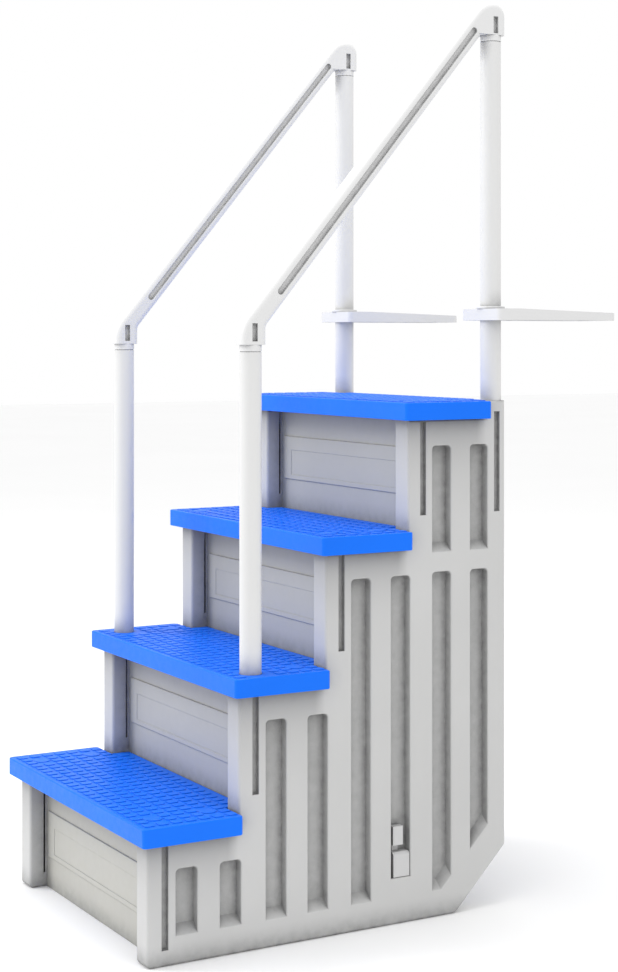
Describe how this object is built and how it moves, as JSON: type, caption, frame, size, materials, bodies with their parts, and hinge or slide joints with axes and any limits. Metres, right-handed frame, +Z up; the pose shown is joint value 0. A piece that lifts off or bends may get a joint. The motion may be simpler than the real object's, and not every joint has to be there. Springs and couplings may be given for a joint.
{
  "type": "in-pool step ladder",
  "caption": "Stair-style pool ladder with wide treads, closed risers, ribbed side panels, two sloping handrails and deck flanges that slide and turn on the rear posts.",
  "frame": {"origin": "on the pool floor, under the middle of the object's bounding box", "axes": "+X across the steps to the right-hand side as seen by someone climbing, +Y from the lowest step towards the pool wall and deck, +Z up"},
  "size_m": [0.82, 1.23, 2.095],
  "materials": {
    "panel_plastic": "moulded resin, fine grain, light grey",
    "riser_plastic": "moulded resin, fine grain, light grey",
    "tread_plastic": "moulded resin, blue, moulded anti-slip relief on the top",
    "rail_plastic": "blow-moulded resin, satin, near white",
    "post_tube": "extruded resin tube, satin, near white",
    "connector_plastic": "moulded nylon, mid grey",
    "flange_plastic": "moulded resin, satin, near white",
    "bushing_plastic": "moulded acetal, light grey",
    "brace_plastic": "moulded resin, light grey",
    "stainless": "stainless steel, brushed"
  },
  "bodies": {
    "ladder": {"side_panel_left": "panel_plastic", "side_panel_right": "panel_plastic", "riser_1": "riser_plastic", "riser_2": "riser_plastic", "riser_3": "riser_plastic", "riser_4": "riser_plastic", "tread_1": "tread_plastic", "tread_2": "tread_plastic", "tread_3": "tread_plastic", "tread_4": "tread_plastic", "screw_caps": "tread_plastic", "handrail_left": "rail_plastic", "handrail_right": "rail_plastic", "front_post_left": "post_tube", "front_post_right": "post_tube", "rear_post_left": "post_tube", "rear_post_right": "post_tube", "front_rail_connector_left": "connector_plastic", "front_rail_connector_right": "connector_plastic", "rear_rail_connector_left": "connector_plastic", "rear_rail_connector_right": "connector_plastic", "lower_cross_brace": "brace_plastic", "brace_latch_left": "brace_plastic", "brace_latch_right": "brace_plastic", "tread_screws": "stainless", "riser_screws": "stainless", "rear_post_screws": "stainless"},
    "slider_left": {"flange_bushing_left": "bushing_plastic"},
    "slider_right": {"flange_bushing_right": "bushing_plastic"},
    "plate_left": {"deck_flange_left": "flange_plastic"},
    "plate_right": {"deck_flange_right": "flange_plastic"}
  },
  "joints": [
    {"name": "flange_height_left", "type": "slide", "parent": "ladder", "child": "slider_left", "axis": [0, 0, 1], "range_m": [-0.14, 0.02]},
    {"name": "flange_swivel_left", "type": "hinge", "parent": "slider_left", "child": "plate_left", "pos_m": [-0.332, 0.299, 1.356], "axis": [0, 0, 1], "range_deg": [-90, 90]},
    {"name": "flange_height_right", "type": "slide", "parent": "ladder", "child": "slider_right", "axis": [0, 0, 1], "range_m": [-0.14, 0.02]},
    {"name": "flange_swivel_right", "type": "hinge", "parent": "slider_right", "child": "plate_right", "pos_m": [0.332, 0.299, 1.356], "axis": [0, 0, 1], "range_deg": [-90, 90]}
  ]
}
